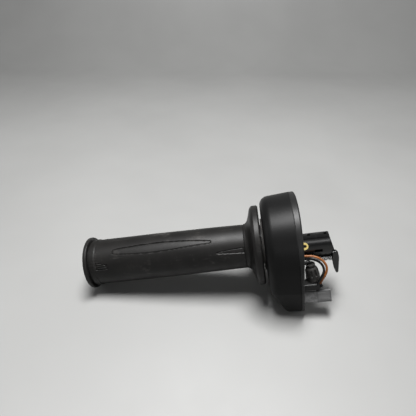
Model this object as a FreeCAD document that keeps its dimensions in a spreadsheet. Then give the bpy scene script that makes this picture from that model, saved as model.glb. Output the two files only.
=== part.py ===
"""Heated ride-by-wire throttle grip for the right end of a 22 mm motorcycle handlebar.

Frame: X runs along the handlebar, with +X towards the middle of the bike; -Y is forward and +Z is up.
The origin is on the handlebar's axis, in the plane of the housing's outer, switch-side face.
All sizes are in millimetres.  "start" is a piece's end nearer the grip's outer end, "end" the other one.
"""
import FreeCAD, Part
import math
import os

import Sketcher
from FreeCAD import Placement, Rotation, Vector

SIZES = {
    # handlebar, twist tube and grip
    "bar_bore": 11.1,
    "bar_gap": 0.3,
    "tube_wall": 1.8,
    "tube_start": -154.6,
    "hub_radius": 14.5,
    "hub_end": -9.4,
    "disc_radius": 26.0,
    "disc_start": -27.6,
    "disc_end": -25.6,
    "foil_thickness": 0.3,
    "foil_inset": 1.2,
    "ring_width": 2.8,
    "ring_radius": 19.5,
    "ring_edge": 0.9,
    "groove_radius": 16.4,
    "groove_width": 0.8,
    "lip_radius": 17.4,
    "lip_width": 4.3,
    "barrel_radius": 17.0,
    "taper_start": -95.0,
    "neck_radius": 16.1,
    "neck_end": -40.0,
    "flange_radius": 29.3,
    "flange_end": -25.1,
    "flange_lip": 4.2,
    "flange_root": -37.0,
    # housing
    "drum_radius": 36.3,
    "drum_draft": 4.3,
    "housing_start": -23.5,
    "parting": -2.5,
    "gasket_thickness": 0.6,
    "gasket_inset": 0.45,
    "wall": 2.2,
    "cover_rise": 1.8,
    "cover_rise_height": 24.0,
    "cover_fold_height": -12.0,
    "cover_edge": 1.0,
    "drum_edge": 6.6,
    "nose_crease": 18.0,
    "nose_drop": 44.3,
    "nose_set_back": 4.2,
    "nose_rear": 4.0,
    "nose_corner": 8.0,
    "bevel_top": 17.0,
    "bevel_end": -11.8,
    "bevel_edge": 3.0,
    "screw_shank": 1.4,
    "screw_head": 2.6,
    "screw_head_height": 1.2,
    "screw_length": 8.0,
    "screw_boss": 3.2,
    "screw_circle": 30.2,
    "nose_screw_depth": 37.5,
    # bush, washer and seals round the hub
    "running_gap": 0.06,
    "bush_wall": 1.6,
    "bush_length": 3.4,
    "washer_thickness": 1.1,
    "washer_radius": 18.8,
    # gears and sensor
    "gear_module": 0.8,
    "drive_teeth": 48,
    "sensor_teeth": 16,
    "backlash": 0.12,
    "gear_room": 0.4,
    "gear_start": -15.5,
    "gear_width": 4.5,
    "mesh_angle": 37.0,
    "travel": 70.0,
    "lug_radius": 23.5,
    "lug_width": 2.5,
    "axle_radius": 1.5,
    "axle_boss": 3.1,
    "axle_boss_length": 4.2,
    "magnet_radius": 3.0,
    "magnet_length": 1.6,
    "board_thickness": 1.2,
    "board_end": -6.0,
    # springs
    "spring_inner": 16.0,
    "spring_outer": 20.4,
    "spring_thickness": 0.45,
    "spring_start": -18.7,
    "spring_width": 2.7,
    "flex_inner": 15.4,
    "flex_outer": 21.0,
    "flex_thickness": 0.35,
    "flex_start": -10.2,
    "flex_width": 3.4,
    # handlebar saddle
    "saddle_wall": 2.9,
    "sleeve_start": -9.0,
    "sleeve_end": 0.5,
    "saddle_relief": 0.2,
    "sleeve_flange": 18.6,
    "sleeve_flange_thickness": 2.1,
    "sleeve_screw_circle": 16.4,
    "saddle_short_side": 21.5,
    "saddle_long_side": 28.0,
    "saddle_top_angle": 33.0,
    "saddle_sweep": 180.0,
    "land_height": 0.5,
    "insert_radius": 2.6,
    "insert_bore": 1.4,
    "insert_place": 4.3,
    "insert_angle": 70.0,
    # wires, plug and connector
    "wire_radius": 0.85,
    "grommet_radius": 1.7,
    "grommet_length": 2.6,
    "connector_length": 19.3,
    "connector_seam": 9.5,
    "connector_width": 8.4,
    "connector_thickness": 7.2,
    "connector_step": 0.3,
    "connector_wall": 0.8,
    "connector_mouth": 7.0,
}

doc = FreeCAD.newDocument("throttle_grip")
sizes = doc.addObject("Spreadsheet::Sheet", "sizes")
for row, (alias, number) in enumerate(SIZES.items(), start=1):
    sizes.set(f"A{row}", alias)
    sizes.set(f"B{row}", str(number))
    sizes.setAlias(f"B{row}", alias)
doc.recompute()

NODES = []
TURN_TO_X = Rotation(Vector(0, 0, 1), Vector(1, 0, 0))
FAR = 200.0
OVERRUN = 1.0


# ---------------------------------------------------------------- helpers
def size(terms):
    """Add up a sum of named sizes and numbers, such as "bar_bore + 2.0"."""
    total = 0.0
    sign = 1.0
    for word in terms.split():
        if word == "+":
            sign = 1.0
        elif word == "-":
            sign = -1.0
        elif word in SIZES:
            total += sign * sizes.get(word)
        else:
            total += sign * float(word)
    return total


def expression(terms):
    """The same sum as an expression on the spreadsheet's cells."""
    return " ".join("sizes." + word if word in SIZES else word for word in terms.split())


def node(label, thing):
    """Name a finished sub-part and put it on the list of those to write."""
    thing.Label = label
    NODES.append(thing)
    return thing


def feature(label, shape):
    """A finished sub-part from a shape that is worked out from the sheet."""
    thing = doc.addObject("Part::Feature", label)
    thing.Shape = shape
    thing.Placement = Placement()
    return node(label, thing)


def revolved(label, points):
    """A body turned about the handlebar's axis from (x, radius) points, each a sum of named sizes."""
    body = doc.addObject("PartDesign::Body", label)
    sketch = body.newObject("Sketcher::SketchObject", label + "_profile")
    plane = [thing for thing in body.Origin.OriginFeatures if thing.Role == "XY_Plane"][0]
    sketch.AttachmentSupport = [(plane, "")]
    sketch.MapMode = "FlatFace"
    corners = [Vector(size(along), size(out), 0) for along, out in points]
    count = len(corners)
    for index in range(count):
        sketch.addGeometry(Part.LineSegment(corners[index], corners[(index + 1) % count]), False)
    for index in range(count):
        sketch.addConstraint(Sketcher.Constraint("Coincident", index, 2, (index + 1) % count, 1))
    for index, (along, out) in enumerate(points):
        across = sketch.addConstraint(Sketcher.Constraint("DistanceX", -1, 1, index, 1, corners[index].x))
        sketch.setExpression(f"Constraints[{across}]", expression(along))
        upward = sketch.addConstraint(Sketcher.Constraint("DistanceY", -1, 1, index, 1, corners[index].y))
        sketch.setExpression(f"Constraints[{upward}]", expression(out))
    turning = body.newObject("PartDesign::Revolution", label + "_turned")
    turning.Profile = sketch
    turning.ReferenceAxis = (sketch, ["H_Axis"])
    turning.Angle = 360
    body.Placement = Placement()
    return body


def ring(label, inner, outer, start, end):
    """A plain turned ring."""
    return revolved(label, [(start, inner), (end, inner), (end, outer), (start, outer)])


def rod(x_start, x_end, y, z, radius):
    """A round bar parallel to the handlebar."""
    return Part.makeCylinder(radius, x_end - x_start, Vector(x_start, y, z), Vector(1, 0, 0))


def at_angle(angle, radius, x=0.0):
    """The point at a radius, at an angle measured from straight up towards the front."""
    turn = math.radians(angle)
    return Vector(x, -radius * math.sin(turn), radius * math.cos(turn))


def sector(x_start, x_end, inner, outer, first, last):
    """A block of a ring between two angles from straight up towards the front."""
    edges = []
    middle = 0.5 * (first + last)
    outer_arc = Part.Arc(at_angle(first, outer), at_angle(middle, outer), at_angle(last, outer))
    inner_arc = Part.Arc(at_angle(last, inner), at_angle(middle, inner), at_angle(first, inner))
    edges.append(outer_arc.toShape())
    edges.append(Part.LineSegment(at_angle(last, outer), at_angle(last, inner)).toShape())
    edges.append(inner_arc.toShape())
    edges.append(Part.LineSegment(at_angle(first, inner), at_angle(first, outer)).toShape())
    face = Part.Face(Part.Wire(edges))
    face.translate(Vector(x_start, 0, 0))
    return face.extrude(Vector(x_end - x_start, 0, 0))


def prism(points, along):
    """A straight block from corner points in one plane."""
    return Part.Face(Part.makePolygon(points + [points[0]])).extrude(along)


def fillet_where(shape, radius, wanted):
    """Round the edges that a test picks."""
    return shape.makeFillet(radius, [edge for edge in shape.Edges if wanted(edge)])


def tube_along(points, radius):
    """A round tube along straight runs joined by tangent arcs."""
    runs = [(points[index + 1] - points[index]).Length for index in range(len(points) - 1)]
    edges = []
    last = points[0]
    smallest = FAR
    for index in range(1, len(points) - 1):
        before = (points[index] - points[index - 1]).normalize()
        after = (points[index + 1] - points[index]).normalize()
        half_turn = 0.5 * before.getAngle(after)
        set_back = 0.45 * min(runs[index - 1], runs[index])
        bend = set_back / math.tan(half_turn)
        smallest = min(smallest, bend)
        enter = points[index] - before * set_back
        leave = points[index] + after * set_back
        inward = (after - before).normalize()
        centre = points[index] + inward * (bend / math.cos(half_turn))
        edges.append(Part.LineSegment(last, enter).toShape())
        edges.append(Part.Arc(enter, centre - inward * bend, leave).toShape())
        last = leave
    edges.append(Part.LineSegment(last, points[-1]).toShape())
    path = Part.Wire(edges)
    section = Part.Wire([Part.makeCircle(radius, points[0], points[1] - points[0])])
    solid = path.makePipeShell([section], True, False)
    print("smallest bend", round(smallest, 2), "mm; volume against section times length",
          round(solid.Volume / (math.pi * radius ** 2 * path.Length), 4))
    return solid


# ---------------------------------------------------------------- twist tube and grip
def make_throttle_tube():
    """The plastic tube under the rubber, with its thicker hub inside the housing."""
    bore = "bar_bore + bar_gap"
    barrel = bore + " + tube_wall"
    node("throttle_tube", revolved("throttle_tube", [
        ("tube_start", bore), ("hub_end", bore), ("hub_end", "hub_radius"), ("disc_end", "hub_radius"),
        ("disc_end", barrel), ("tube_start", barrel)]))


def make_tube_disc():
    """The disc on the tube that stiffens the rubber flange."""
    node("tube_disc", ring("tube_disc", "bar_bore + bar_gap + tube_wall", "disc_radius", "disc_start", "disc_end"))


def make_heater_foil():
    """The heating element wrapped round the tube."""
    barrel = "bar_bore + bar_gap + tube_wall"
    node("heater_foil", ring("heater_foil", barrel, barrel + " + foil_thickness",
                             "tube_start + foil_inset", "disc_start - foil_inset"))


def make_grip_rubber():
    """The moulded sleeve: the lip at its outer end and the tapered barrel."""
    inside = "bar_bore + bar_gap + tube_wall + foil_thickness"
    node("grip_rubber", revolved("grip_rubber", [
        ("tube_start", inside), ("flange_root", inside), ("flange_root", "neck_radius + 0.5"),
        ("neck_end", "neck_radius + 0.4"), ("neck_end", "neck_radius"), ("taper_start", "barrel_radius"),
        ("tube_start + groove_width + lip_width", "barrel_radius"),
        ("tube_start + groove_width + lip_width", "lip_radius"),
        ("tube_start + groove_width", "lip_radius"), ("tube_start + groove_width", "groove_radius"),
        ("tube_start", "groove_radius")]))


def make_grip_flange():
    """The sleeve's wide flange, which flares out in front of the housing and hides the disc."""
    inside = "bar_bore + bar_gap + tube_wall + foil_thickness"
    node("grip_flange", revolved("grip_flange", [
        ("flange_root", inside), ("disc_start", inside), ("disc_start", "disc_radius"),
        ("flange_end", "disc_radius"), ("flange_end", "flange_radius - 1.1"), ("flange_end - 1.0", "flange_radius"),
        ("flange_end - flange_lip", "flange_radius"), ("flange_end - flange_lip - 1.3", "flange_radius - 0.7"),
        ("flange_end - flange_lip - 2.1", "flange_radius - 2.2"),
        ("flange_end - flange_lip - 3.2", "flange_radius - 6.0"), ("flange_end - flange_lip - 4.5", "neck_radius + 3.0"),
        ("flange_end - flange_lip - 5.9", "neck_radius + 1.0"), ("flange_root", "neck_radius + 0.5")]))


def make_end_ring():
    """The ring that closes the grip's outer end."""
    node("end_ring", revolved("end_ring", [
        ("tube_start - ring_width", "bar_bore + bar_gap + 0.3"), ("tube_start", "bar_bore + bar_gap + 0.3"),
        ("tube_start", "ring_radius - ring_edge"), ("tube_start - ring_edge", "ring_radius"),
        ("tube_start - ring_width + ring_edge", "ring_radius"),
        ("tube_start - ring_width", "ring_radius - ring_edge")]))


# ---------------------------------------------------------------- housing
def housing_outline(x, inset):
    """The housing's outline at a station, moved inwards: a drum with a square nose, front and below."""
    radius = size("drum_radius")
    crease = Vector(x, -radius, -size("nose_crease"))
    front = Vector(x, size("nose_set_back") - radius, -size("nose_drop"))
    rear = Vector(x, -size("nose_rear"), -size("nose_drop"))
    reach = math.hypot(rear.y, rear.z)
    low = math.atan2(rear.y, -rear.z) + math.acos(radius / reach)
    touch = Vector(x, radius * math.sin(low), -radius * math.cos(low))
    start = Vector(x, -radius, 0)
    over = Vector(x, radius * math.cos(low / 2), radius * math.sin(low / 2))
    wire = Part.Wire([
        Part.Arc(touch, over, start).toShape(),
        Part.LineSegment(start, crease).toShape(),
        Part.LineSegment(crease, front).toShape(),
        Part.LineSegment(front, rear).toShape(),
        Part.LineSegment(rear, touch).toShape()])
    corner = size("nose_corner")
    rounded = Part.Face(wire).makeOffset2D(-corner).makeOffset2D(corner - inset)
    return rounded.OuterWire


def drum_block(start, end, inset):
    """A solid of the housing's outline between two stations, drafted like the mould."""
    slope = math.tan(math.radians(size("drum_draft")))
    small = housing_outline(start, inset + slope * (size("parting") - start))
    large = housing_outline(end, inset + slope * (size("parting") - end))
    return Part.makeLoft([small, large], True, True)


def bevel_plane():
    """A point on the slanted back of the nose, its direction down the slant and its outward normal."""
    top = Vector(size("housing_start"), 0, -size("bevel_top"))
    along = (Vector(size("bevel_end"), 0, -size("nose_drop")) - top).normalize()
    return top, along, Vector(along.z, 0, -along.x)


def bevel_block(inward):
    """The space that the slanted back of the nose leaves free, moved inwards by a wall."""
    top, along, out = bevel_plane()
    high = top - along * FAR / 2 - out * inward - Vector(0, FAR / 2, 0)
    low = high + along * FAR
    return prism([high, low, low + out * FAR, high + out * FAR], Vector(0, FAR, 0))


def on_bevel(edge):
    """Whether an edge lies in the slanted back of the nose."""
    top, _, out = bevel_plane()
    span = edge.LastParameter - edge.FirstParameter
    places = [edge.valueAt(edge.FirstParameter + 0.25 * span * step) for step in range(5)]
    return all(abs((place - top).dot(out)) < 0.02 for place in places)


def screw_places():
    """Where the four cover screws are, as (y, z)."""
    circle = size("screw_circle")
    places = [at_angle(angle, circle) for angle in (-45.0, 52.0, -125.0)]
    places.append(Vector(0, -size("nose_rear") - 4.0, -size("nose_screw_depth")))
    return places


def sensor_centre():
    """The sensor gear's centre, as (y, z)."""
    return at_angle(180.0 - size("mesh_angle"), gear_distance())


def gear_distance():
    """The distance between the two gears' axes."""
    return 0.5 * size("gear_module") * (size("drive_teeth") + size("sensor_teeth"))


def make_housing_shell():
    """The deep half of the housing, with its bosses and the two stops of the twist."""
    start = size("housing_start")
    parting = size("parting")
    wall = size("wall")
    outer = drum_block(start, parting, 0.0)
    outer = fillet_where(outer, size("drum_edge"), lambda edge: edge.BoundBox.XMax < start + 0.01)
    outer = outer.cut(bevel_block(0.0))
    outer = fillet_where(outer, size("bevel_edge"), on_bevel)
    hollow = drum_block(start + wall, parting + OVERRUN, wall).cut(bevel_block(wall))
    shell = outer.cut(hollow)
    posts = [rod(start + 0.5 * wall, parting, place.y, place.z, size("screw_boss")) for place in screw_places()]
    axle = sensor_centre()
    posts.append(rod(start + 0.5 * wall, start + wall + size("axle_boss_length"), axle.y, axle.z,
                     size("axle_boss")))
    bush_outer = size("hub_radius + running_gap + bush_wall")
    posts.append(rod(start, start + size("bush_length + 0.6"), 0, 0, bush_outer + 2.0))
    clear = size("lug_radius") - 1.6
    for middle in stop_angles():
        posts.append(sector(start + 0.5 * wall, size("gear_start + gear_width"), clear,
                            size("drum_radius") - 2 * wall, middle - 3.0, middle + 3.0))
    skin = 0.3 * wall
    keep = outer.common(drum_block(start, parting, skin)).cut(bevel_block(skin))
    for post in posts:
        shell = shell.fuse(post.common(keep))
    shell = shell.cut(rod(start - OVERRUN, start + FAR, 0, 0, bush_outer))
    shank = size("screw_shank")
    screw_start = screw_seat() - size("screw_length")
    for place in screw_places():
        shell = shell.cut(rod(screw_start - 0.5, parting + OVERRUN, place.y, place.z, shank))
    shell = shell.cut(rod(start + wall - 0.6, parting, axle.y, axle.z, size("axle_radius")))
    tip = 0.5 * size("gear_module") * (size("sensor_teeth") + 2) + size("gear_room")
    shell = shell.cut(rod(size("gear_start - gear_room"), size("gear_start + gear_width + gear_room"),
                          axle.y, axle.z, tip))
    feature("housing_shell", shell.removeSplitter())


def stop_angles():
    """The middles of the two stops that the lug meets, with half a degree to spare at each."""
    reach = LUG_HALF_ANGLE + 0.5 + 3.0
    return (LUG_ANGLE + reach, LUG_ANGLE - size("travel") - reach)


LUG_ANGLE = 30.0
LUG_HALF_ANGLE = 4.0


def cover_faces():
    """The cover's outside as two planes, flat over the nose and leaning outwards up the drum: (x, z) corners."""
    fold = Vector(0, 0, size("cover_fold_height"))
    high = Vector(size("cover_rise"), 0, size("cover_rise_height"))
    return fold, fold + (high - fold) * 2.0


def make_back_cover():
    """The cover on the switch side: a plate with a bevelled rim and its holes."""
    start = size("parting + gasket_thickness")
    fold, high = cover_faces()
    block = Part.Face(housing_outline(start, 0.0)).extrude(Vector(FAR / 2, 0, 0))
    side = Vector(0, FAR / 2, 0)
    beyond = prism([Vector(0, 0, -FAR) - side, fold - side, high - side, Vector(FAR, 0, high.z) - side,
                    Vector(FAR, 0, -FAR) - side], side * 2)
    cover = block.cut(beyond)

    def on_outside(edge):
        middle = edge.valueAt(0.5 * (edge.FirstParameter + edge.LastParameter))
        level = max(0.0, (middle.z - fold.z) * high.x / (high.z - fold.z))
        return abs(middle.x - level) < 0.02 and edge.BoundBox.YMin < -1.0 or middle.y > 1.0 and middle.x > level - 0.02

    rim = [edge for edge in cover.Edges if on_outside(edge) and not across_cover(edge)]
    cover = cover.makeFillet(size("cover_edge"), rim)
    cover = cover.cut(rod(-FAR, FAR, 0, 0, size("bar_bore + saddle_wall + 0.15")))
    seat = screw_seat()
    for place in screw_places():
        cover = cover.cut(rod(-FAR, FAR, place.y, place.z, size("screw_shank + 0.1")))
        cover = cover.cut(rod(seat, FAR, place.y, place.z, size("screw_head + 0.2")))
    for place in sleeve_screw_places():
        cover = cover.cut(rod(-FAR, -0.5, place.y, place.z, SLEEVE_SCREW))
    for place in board_screw_places():
        cover = cover.cut(rod(-FAR, -0.5, place.y, place.z, BOARD_SCREW))
    cover = cover.cut(connector_block(-FAR, OVERRUN, 3.4, 2.6))
    cover = cover.cut(rod(-1.5 * OVERRUN, OVERRUN, -19.1, -8.4, LEAD + 0.8))
    for route in (BROWN_ROUTE, BLACK_ROUTE):
        cover = cover.cut(rod(-FAR, FAR, route[0].y, route[0].z, size("wire_radius") + 0.1))
        cover = cover.cut(rod(0, FAR, route[0].y, route[0].z, size("grommet_radius") + 0.05))
    feature("back_cover", cover.removeSplitter())


def across_cover(edge):
    """Whether an edge is the fold between the cover's two outer planes."""
    box = edge.BoundBox
    return box.XLength < 0.01 and box.ZLength < 0.01


def screw_seat():
    """Where the heads of the cover screws sit."""
    return -size("screw_head_height") - 0.1


def make_cover_gasket():
    """The seal in the joint between shell and cover, set back a little all round."""
    inset = size("gasket_inset")
    start = size("parting")
    outer = Part.Face(housing_outline(start, inset))
    inner = Part.Face(housing_outline(start, size("wall")))
    gasket = outer.cut(inner).extrude(Vector(size("gasket_thickness"), 0, 0))
    for place in screw_places():
        gasket = gasket.cut(rod(start - OVERRUN, FAR, place.y, place.z, size("screw_boss + 0.3")))
    feature("cover_gasket", gasket)


def make_cover_screws():
    """Four pan-head screws, let into the cover."""
    screws = []
    seat = screw_seat()
    for place in screw_places():
        shank = rod(seat - size("screw_length"), seat, place.y, place.z, size("screw_shank"))
        head = rod(seat, seat + size("screw_head_height"), place.y, place.z, size("screw_head"))
        screw = shank.fuse(head).cut(rod(seat + 0.5, OVERRUN, place.y, place.z, 1.0))
        screws.append(screw.removeSplitter())
    feature("cover_screws", Part.makeCompound(screws))


def make_tube_bush():
    """The plain bearing that the hub turns in."""
    inner = "hub_radius + running_gap"
    node("tube_bush", ring("tube_bush", inner, inner + " + bush_wall", "housing_start",
                           "housing_start + bush_length"))


def make_dust_washer():
    """The felt washer between the turning disc and the housing."""
    node("dust_washer", ring("dust_washer", "hub_radius + bush_wall + 0.6", "washer_radius",
                             "housing_start - washer_thickness", "housing_start"))


# ---------------------------------------------------------------- gears and sensor
def gear_outline(teeth, first_angle, kept):
    """Corner points (y, z) of an involute gear; kept says which tooth numbers are cut."""
    module = size("gear_module")
    pitch = 0.5 * module * teeth
    base = pitch * math.cos(math.radians(20.0))
    tip = pitch + 0.8 * module
    root = pitch - 1.2 * module
    low = max(base, root + 0.05)
    half_at_pitch = 0.5 * math.pi / teeth - 0.5 * size("backlash") / pitch
    roll_at_pitch = math.tan(math.radians(20.0)) - math.radians(20.0)
    points = []
    for tooth in range(teeth):
        middle = math.radians(first_angle) + 2 * math.pi * tooth / teeth
        if tooth not in kept:
            points.append((root, middle - 0.5 * math.pi / teeth))
            points.append((root, middle + 0.5 * math.pi / teeth))
            continue
        flank = []
        for step in range(4):
            radius = low + (tip - low) * step / 3
            pressure = math.acos(min(1.0, base / radius))
            half = half_at_pitch + roll_at_pitch - (math.tan(pressure) - pressure)
            flank.append((radius, half))
        points.append((root, middle - flank[0][1]))
        points += [(radius, middle - half) for radius, half in flank]
        points += [(radius, middle + half) for radius, half in reversed(flank)]
        points.append((root, middle + flank[0][1]))
    return [(-radius * math.sin(turn), radius * math.cos(turn)) for radius, turn in points]


def make_drive_gear():
    """The toothed quadrant pressed on the hub, with the lug that meets the stops."""
    teeth = int(size("drive_teeth"))
    mesh = 180.0 - size("mesh_angle")
    pitch_angle = 360.0 / teeth
    span = int(size("travel") / pitch_angle) + 4
    kept = {number % teeth for number in range(-3, span)}
    start = size("gear_start")
    corners = [Vector(start, y, z) for y, z in gear_outline(teeth, mesh, kept)]
    gear = prism(corners, Vector(size("gear_width"), 0, 0))
    end = size("gear_start + gear_width")
    root = 0.5 * size("gear_module") * (teeth - 2.4)
    lug = sector(end - size("lug_width"), end, root - 1.0, size("lug_radius"),
                 LUG_ANGLE - LUG_HALF_ANGLE, LUG_ANGLE + LUG_HALF_ANGLE)
    gear = gear.fuse(lug).cut(rod(-FAR, FAR, 0, 0, size("hub_radius")))
    feature("drive_gear", gear.removeSplitter())


def make_sensor_gear():
    """The small gear that carries the magnet, three turns for each of the grip's."""
    teeth = int(size("sensor_teeth"))
    centre = sensor_centre()
    towards_drive = -size("mesh_angle")
    first = towards_drive + 180.0 / teeth
    start = size("gear_start")
    corners = [Vector(start, y + centre.y, z + centre.z) for y, z in gear_outline(teeth, first, set(range(teeth)))]
    gear = prism(corners, Vector(size("gear_width"), 0, 0))
    end = start + size("gear_width")
    gear = gear.fuse(rod(end, end + size("magnet_length") - 0.2, centre.y, centre.z, size("magnet_radius + 0.8")))
    gear = gear.fuse(rod(size("housing_start + wall + axle_boss_length + 0.2"), start, centre.y, centre.z, 2.8))
    gear = gear.cut(rod(-FAR, end - 0.6, centre.y, centre.z, size("axle_radius + running_gap")))
    gear = gear.cut(rod(end, FAR, centre.y, centre.z, size("magnet_radius")))
    feature("sensor_gear", gear.removeSplitter())


def make_sensor_magnet():
    """The disc magnet in the sensor gear's end."""
    centre = sensor_centre()
    end = size("gear_start + gear_width")
    feature("sensor_magnet", rod(end, end + size("magnet_length"), centre.y, centre.z, size("magnet_radius")))


def make_sensor_axle():
    """The steel pin that the sensor gear turns on, pressed into the shell."""
    centre = sensor_centre()
    feature("sensor_axle", rod(size("housing_start + wall - 0.6"), size("gear_start + gear_width - 0.9"),
                               centre.y, centre.z, size("axle_radius")))


def board_screw_places():
    """The board's two screws, as (y, z)."""
    return [Vector(0, -size("drum_radius") + 9.0, -17.5), Vector(0, -17.0, -size("nose_drop") + 7.5)]


def make_sensor_board():
    """The circuit board behind the connector."""
    end = size("board_end")
    start = end - size("board_thickness")
    low = -size("nose_drop") + 5.0
    front = -size("drum_radius") + 6.5
    rear = -size("nose_rear") - 8.2
    board = prism([Vector(start, front, low), Vector(start, rear, low), Vector(start, rear, -14.0),
                   Vector(start, front, -14.0)], Vector(size("board_thickness"), 0, 0))
    board = board.cut(rod(-FAR, FAR, 0, 0, size("flex_outer + 1.0")))
    for place in board_screw_places():
        board = board.cut(rod(-FAR, FAR, place.y, place.z, 1.1))
    feature("sensor_board", board)


def make_board_screws():
    """The board's two screws, which clamp it to the cover's inner face."""
    end = size("board_end")
    start = end - size("board_thickness")
    screws = []
    for place in board_screw_places():
        shank = rod(start, -0.6, place.y, place.z, BOARD_SCREW)
        screws.append(shank.fuse(rod(start - 1.0, start, place.y, place.z, 1.8)).removeSplitter())
    feature("board_screws", Part.makeCompound(screws))


def make_hall_sensors():
    """Two small sensor chips in front of the magnet."""
    centre = sensor_centre()
    face = size("board_end") - size("board_thickness")
    chips = []
    for side in (-1, 1):
        chips.append(Part.makeBox(0.9, 2.4, 1.6, Vector(face - 0.9, centre.y - 1.2, centre.z - 0.8 + side * 1.2)))
    feature("hall_sensors", Part.makeCompound(chips))


def spiral_ribbon(x_start, width, inner, outer, thickness, half_turns):
    """A flat spiral strip of half circles, each half a pitch wider than the last."""
    growth = 2.0 * (outer - inner) / half_turns

    half = 0.5 * thickness

    def arc(number, offset):
        side = 1 if number % 2 == 0 else -1
        centre = 0.0 if number % 2 == 0 else -0.5 * growth
        radius = inner + 0.5 * growth * number + offset
        begin = Vector(x_start, centre - side * radius, 0)
        finish = Vector(x_start, centre + side * radius, 0)
        return begin, Vector(x_start, centre, side * radius), finish

    outer_arcs = [arc(number, half) for number in range(half_turns)]
    inner_arcs = [arc(number, -half) for number in range(half_turns)]
    edges = [Part.Arc(*points).toShape() for points in outer_arcs]
    edges.append(Part.LineSegment(outer_arcs[-1][2], inner_arcs[-1][2]).toShape())
    edges += [Part.Arc(*points).toShape() for points in reversed(inner_arcs)]
    edges.append(Part.LineSegment(inner_arcs[0][0], outer_arcs[0][0]).toShape())
    return Part.Face(Part.Wire(Part.sortEdges(edges)[0])).extrude(Vector(width, 0, 0))


BROWN_ROUTE = [Vector(1.9, -16.2, -1.7), Vector(7.0, -16.6, -1.3), Vector(12.2, -18.2, -2.0),
               Vector(16.2, -20.4, -4.4), Vector(17.9, -22.8, -8.2), Vector(16.8, -24.6, -12.4),
               Vector(14.2, -25.4, -16.0), Vector(12.4, -25.6, -20.6)]
BLACK_ROUTE = [Vector(1.9, -16.4, -4.4), Vector(6.6, -16.7, -3.9), Vector(11.4, -18.3, -4.5),
               Vector(14.8, -20.6, -6.5), Vector(15.9, -23.3, -9.7), Vector(14.3, -25.4, -12.9),
               Vector(11.6, -26.4, -16.2), Vector(10.1, -26.7, -20.6)]
SLEEVE_SCREW = 0.9
BOARD_SCREW = 1.0
LEAD = 1.2


def sleeve_screw_places():
    """The three screws that hold the saddle's flange to the cover."""
    return [at_angle(angle, size("sleeve_screw_circle")) for angle in (-60.0, 0.0, 180.0)]


def connector_block(x_start, x_end, half_width, half_depth):
    """A block on the connector's axis, turned to the nose's slant."""
    lean = math.radians(35.3)
    broad = Vector(0, -math.sin(lean), -math.cos(lean))
    deep = Vector(0, -math.cos(lean), math.sin(lean))
    middle = Vector(x_start, CONNECTOR_CENTRE.y, CONNECTOR_CENTRE.z)
    corners = [middle + broad * half_width * first + deep * half_depth * second
               for first, second in ((1, 1), (1, -1), (-1, -1), (-1, 1))]
    return prism(corners, Vector(x_end - x_start, 0, 0))


CONNECTOR_CENTRE = Vector(0, -26.1, -31.7)
BOOT_TOP = Vector(7.0, -18.2, -7.2)
BOOT_FOOT = Vector(8.6, -20.8, -20.0)
PLUG_CENTRE = Vector(0, -23.9, -22.4)


def make_return_spring():
    """The flat spiral spring that closes the throttle."""
    feature("return_spring", spiral_ribbon(size("spring_start"), size("spring_width"), size("spring_inner"),
                                           size("spring_outer"), size("spring_thickness"), 5))


def make_heater_flex():
    """The ribbon cable that feeds the heater and winds with the twist."""
    feature("heater_flex", spiral_ribbon(size("flex_start"), size("flex_width"), size("flex_inner"),
                                         size("flex_outer"), size("flex_thickness"), 5))


# ---------------------------------------------------------------- handlebar saddle
def make_bar_saddle():
    """The sleeve in the cover's bore and the half shell that the handlebar lies in."""
    bore = size("bar_bore")
    outer = bore + size("saddle_wall")
    short = size("saddle_short_side")
    long = size("saddle_long_side")
    first = size("saddle_top_angle")
    last = first + size("saddle_sweep")
    flange_end = size("parting + gasket_thickness")
    sleeve = rod(size("sleeve_start"), size("sleeve_end"), 0, 0, outer)
    flange = rod(flange_end - size("sleeve_flange_thickness"), flange_end, 0, 0, size("sleeve_flange"))
    shell = sector(0, long, bore - 0.5, outer, first, last)
    top = at_angle(first, outer)
    low_side = at_angle(last - 50.0, outer)
    slant = prism([Vector(short, -FAR / 2, FAR), Vector(short, -FAR / 2, top.z), Vector(long, -FAR / 2, low_side.z),
                   Vector(long, -FAR / 2, -FAR), Vector(FAR, -FAR / 2, -FAR), Vector(FAR, -FAR / 2, FAR)],
                  Vector(0, FAR, 0))
    shell = shell.cut(slant)
    shell = shell.fuse(sector(1.4, short - 0.6, outer - 1.0, outer + size("land_height"), first, first + 15.0))
    shell = shell.fuse(sector(11.5, 23.3, outer - 1.0, outer + 2.0, 118.0, 158.0))
    for rib in range(4):
        shell = shell.fuse(sector(11.5 + 3.4 * rib, 13.1 + 3.4 * rib, outer - 1.0, outer + 2.8, 118.0, 158.0))
    shell = shell.fuse(hook(outer))
    saddle = sleeve.fuse([flange, shell])
    saddle = saddle.cut(rod(-FAR, FAR, 0, 0, bore))
    saddle = saddle.cut(rod(size("sleeve_end"), FAR, 0, 0, bore + size("saddle_relief")))
    floor = bore + 1.0
    for x_middle in (8.0, 19.2):
        saddle = saddle.cut(sector(x_middle - 1.0, x_middle + 1.0, floor, outer + 2.0, 35.5, 40.5))
    saddle = saddle.cut(sector(11.3, 16.6, floor, outer + 2.0, 84.5, 94.5))
    saddle = saddle.cut(radial_rod(size("insert_place"), size("insert_angle"), bore - 1.0, outer + 2.0,
                                   size("insert_radius")))
    for place in sleeve_screw_places():
        saddle = saddle.cut(rod(-FAR, 1.0, place.y, place.z, SLEEVE_SCREW + 0.1))
    feature("bar_saddle", saddle.removeSplitter())


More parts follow.
